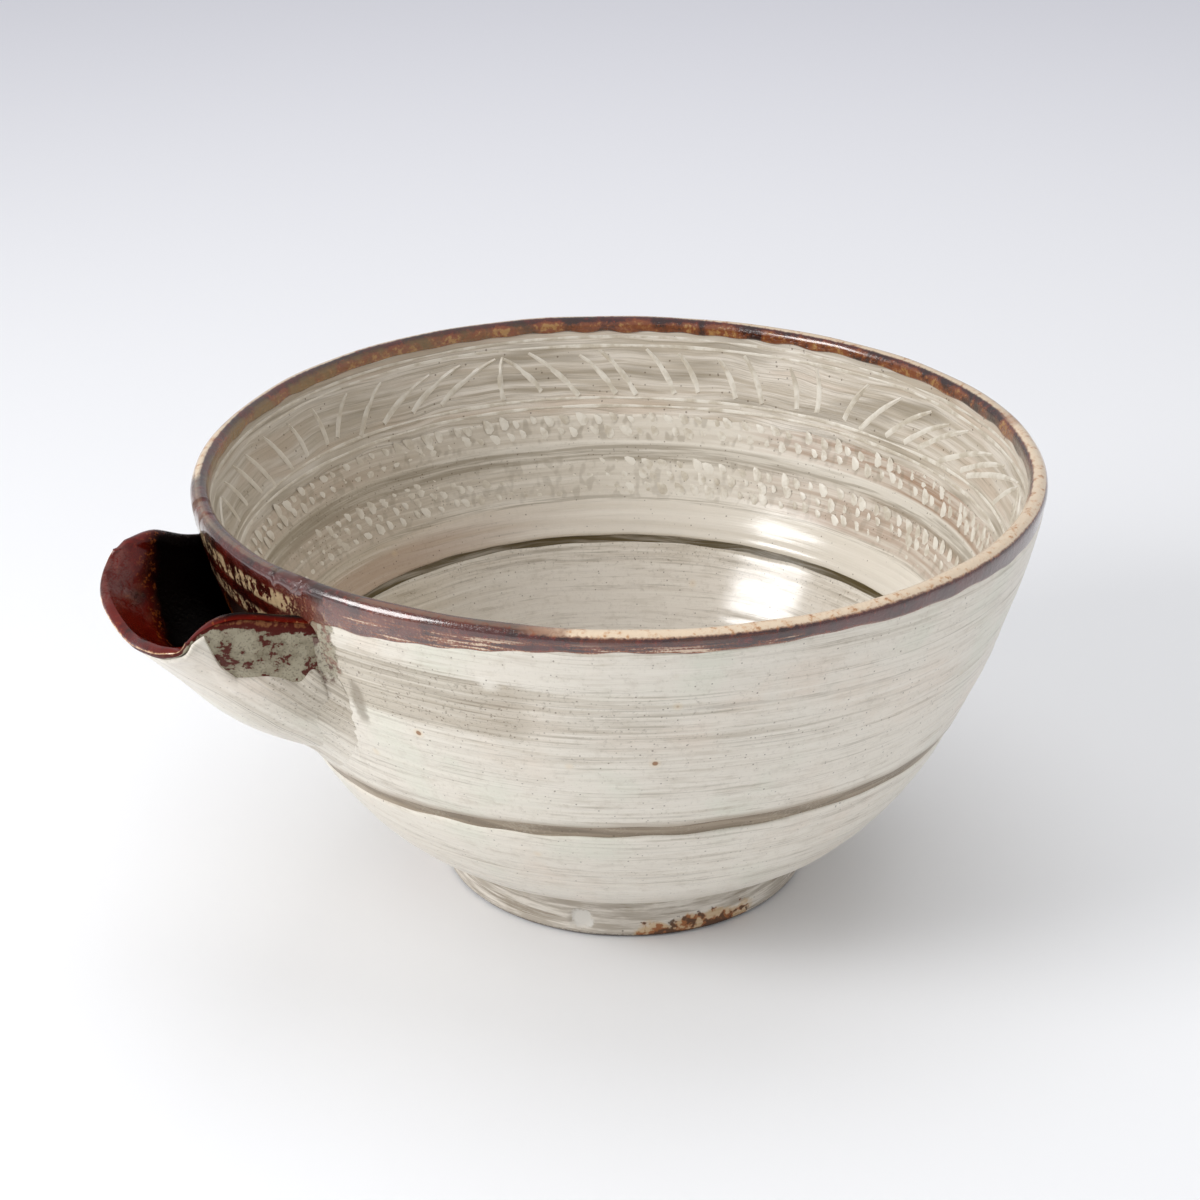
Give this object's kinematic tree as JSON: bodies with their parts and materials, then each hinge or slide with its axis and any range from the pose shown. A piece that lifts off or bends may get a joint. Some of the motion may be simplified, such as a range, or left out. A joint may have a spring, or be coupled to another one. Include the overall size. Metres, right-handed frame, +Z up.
{
  "type": "katakuchi sake pourer",
  "caption": "Footed stoneware pouring bowl with an open luted spout under the rim, brushed white slip, iron-brown lip and white inlaid bands inside.",
  "frame": {"origin": "middle of the foot ring, on the plane that it stands on", "axes": "+Z up along the bowl's axis; the spout points along -X, so X is the object's length and Y its width"},
  "size_m": [0.1825, 0.16, 0.086],
  "materials": {
    "raw_clay": "glazed grey stoneware clay",
    "foot_clay": "brushed olive-grey clay with rust",
    "white_slip": "brushed white slip under clear glaze",
    "iron_glaze": "glossy iron brown",
    "white_inlay": "white slip inlay under clear glaze"
  },
  "bodies": {
    "root": {"bowl_body": "raw_clay", "foot_ring": "foot_clay", "spout": "raw_clay", "spout_seam_coil": "raw_clay", "outer_slip_upper": "white_slip", "outer_slip_lower": "white_slip", "inner_slip_wall": "white_slip", "inner_slip_well": "white_slip", "rim_iron_band": "iron_glaze", "spout_iron_lining": "iron_glaze", "spout_slip_coat": "white_slip", "inlay_ring_lines": "white_inlay", "inlay_feather_strokes": "white_inlay"}
  },
  "joints": []
}
